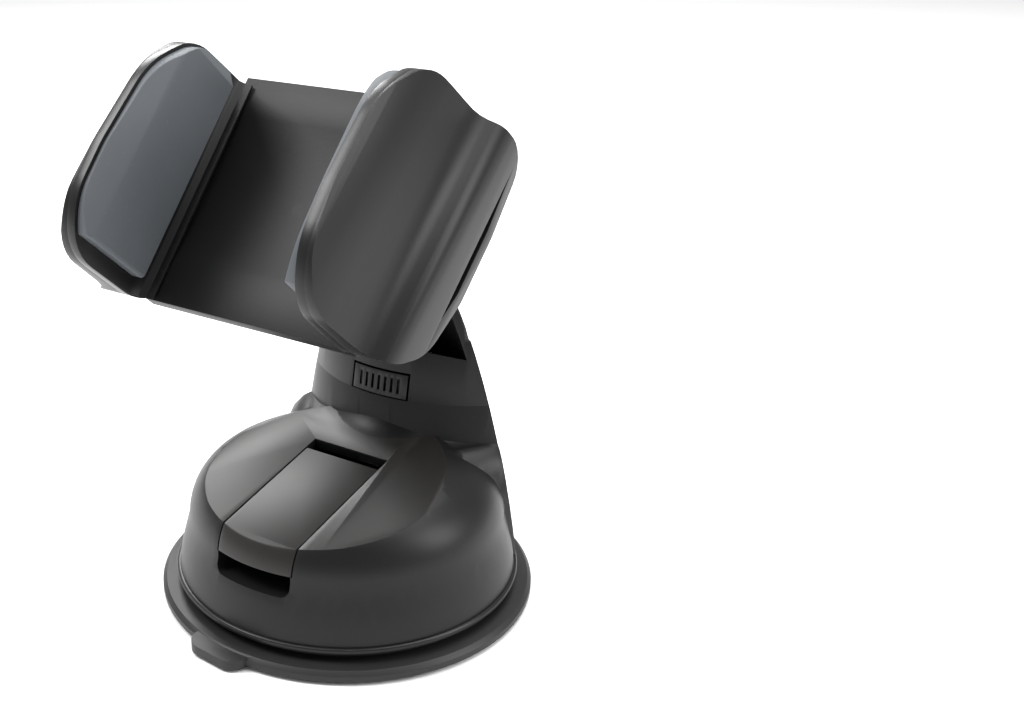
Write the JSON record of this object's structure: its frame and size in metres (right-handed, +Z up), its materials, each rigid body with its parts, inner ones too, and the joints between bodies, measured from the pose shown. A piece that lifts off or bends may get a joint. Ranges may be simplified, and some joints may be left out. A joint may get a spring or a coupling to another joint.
{
  "type": "car phone mount",
  "caption": "Dashboard phone holder: suction base with lock lever, hooded tower, clamped ball joint and a cradle with two sliding padded arms.",
  "frame": {"origin": "centre of the suction face", "axes": "+Z up away from the surface, the lever and the phone face -Y, +X to the right of someone facing the phone"},
  "size_m": [0.0868, 0.097, 0.1246],
  "materials": {
    "pad_rubber": "matte soft rubber",
    "housing_black": "satin fine-grained moulded plastic",
    "gloss_black": "smooth moulded plastic",
    "grip_grey": "matte grey rubber",
    "inner_plastic": "moulded plastic",
    "acetal": "natural acetal",
    "steel": "zinc plated steel",
    "spring_steel": "spring steel"
  },
  "bodies": {
    "base": {"suction_pad": "pad_rubber", "flange_ring": "gloss_black", "base_housing": "housing_black", "base_cover": "inner_plastic", "base_screws": "steel", "spindle_spring": "spring_steel", "lever_pin": "steel", "cowl": "housing_black", "release_spring": "spring_steel", "stud_post": "inner_plastic", "stud_screw": "steel", "ball_stud": "gloss_black"},
    "lever": {"lock_lever": "housing_black"},
    "spindle_unit": {"suction_plate": "inner_plastic", "spindle": "steel", "spindle_pin": "steel"},
    "front_tab": {"release_tab_front": "gloss_black"},
    "rear_tab": {"release_tab_rear": "gloss_black"},
    "tilt_seat": {"pressure_pad": "acetal"},
    "pan_seat": {"seat_ring": "acetal"},
    "cradle": {"ball_socket": "inner_plastic", "collar_ring": "inner_plastic", "socket_screw": "steel", "cradle_tray": "gloss_black", "cradle_back": "housing_black", "cradle_screws": "steel", "pinion_pin": "steel", "return_spring": "spring_steel"},
    "nut": {"locking_nut": "gloss_black"},
    "right_arm": {"arm_right": "gloss_black", "arm_cover_right": "housing_black", "grip_pad_right": "grip_grey", "rack_right": "acetal", "arm_screws_right": "steel"},
    "left_arm": {"arm_left": "gloss_black", "arm_cover_left": "housing_black", "grip_pad_left": "grip_grey", "rack_left": "acetal", "arm_screws_left": "steel"},
    "pinion_gear": {"pinion": "acetal"}
  },
  "joints": [
    {"name": "lever_hinge", "type": "hinge", "parent": "base", "child": "lever", "pos_m": [0, -0.0046, 0.026], "axis": [-1, 0, 0], "range_deg": [0, 70]},
    {"name": "spindle_slide", "type": "slide", "parent": "base", "child": "spindle_unit", "axis": [0, 0, -1], "range_m": [0, 0.002]},
    {"name": "front_tab_press", "type": "slide", "parent": "base", "child": "front_tab", "axis": [0, 1, 0], "range_m": [0, 0.001], "stiffness_N_per_m": 1500, "springref_m": -0.001},
    {"name": "rear_tab_press", "type": "slide", "parent": "base", "child": "rear_tab", "axis": [0, -1, 0], "range_m": [0, 0.001], "stiffness_N_per_m": 1500, "springref_m": -0.001},
    {"name": "ball_tilt", "type": "hinge", "parent": "base", "child": "tilt_seat", "pos_m": [0, 0.008, 0.078], "axis": [1, 0, 0], "range_deg": [-25, 28]},
    {"name": "ball_pan", "type": "hinge", "parent": "tilt_seat", "child": "pan_seat", "pos_m": [0, 0.008, 0.078], "axis": [0, 0.6652, 0.7466], "range_deg": [-22, 22]},
    {"name": "ball_turn", "type": "hinge", "parent": "pan_seat", "child": "cradle", "pos_m": [0, 0.008, 0.078], "axis": [0, -0.7466, 0.6652], "continuous": true},
    {"name": "nut_turn", "type": "hinge", "parent": "cradle", "child": "nut", "pos_m": [0, 0.008, 0.078], "axis": [0, -0.7466, 0.6652], "range_deg": [0, 120]},
    {"name": "right_arm_slide", "type": "slide", "parent": "cradle", "child": "right_arm", "axis": [1, 0, 0], "range_m": [0, 0.018], "stiffness_N_per_m": 120, "springref_m": -0.02},
    {"name": "left_arm_slide", "type": "slide", "parent": "cradle", "child": "left_arm", "axis": [-1, 0, 0], "range_m": [0, 0.018]},
    {"name": "pinion_turn", "type": "hinge", "parent": "cradle", "child": "pinion_gear", "pos_m": [0, -0.01483, 0.09131], "axis": [0, -0.7466, 0.6652], "range_deg": [0, 210]}
  ],
  "couplings": [
    {"joint": "lever_hinge", "follows": "spindle_slide", "rad_per_m": 610.86},
    {"joint": "left_arm_slide", "follows": "right_arm_slide", "ratio": 1},
    {"joint": "pinion_turn", "follows": "right_arm_slide", "rad_per_m": 200}
  ]
}
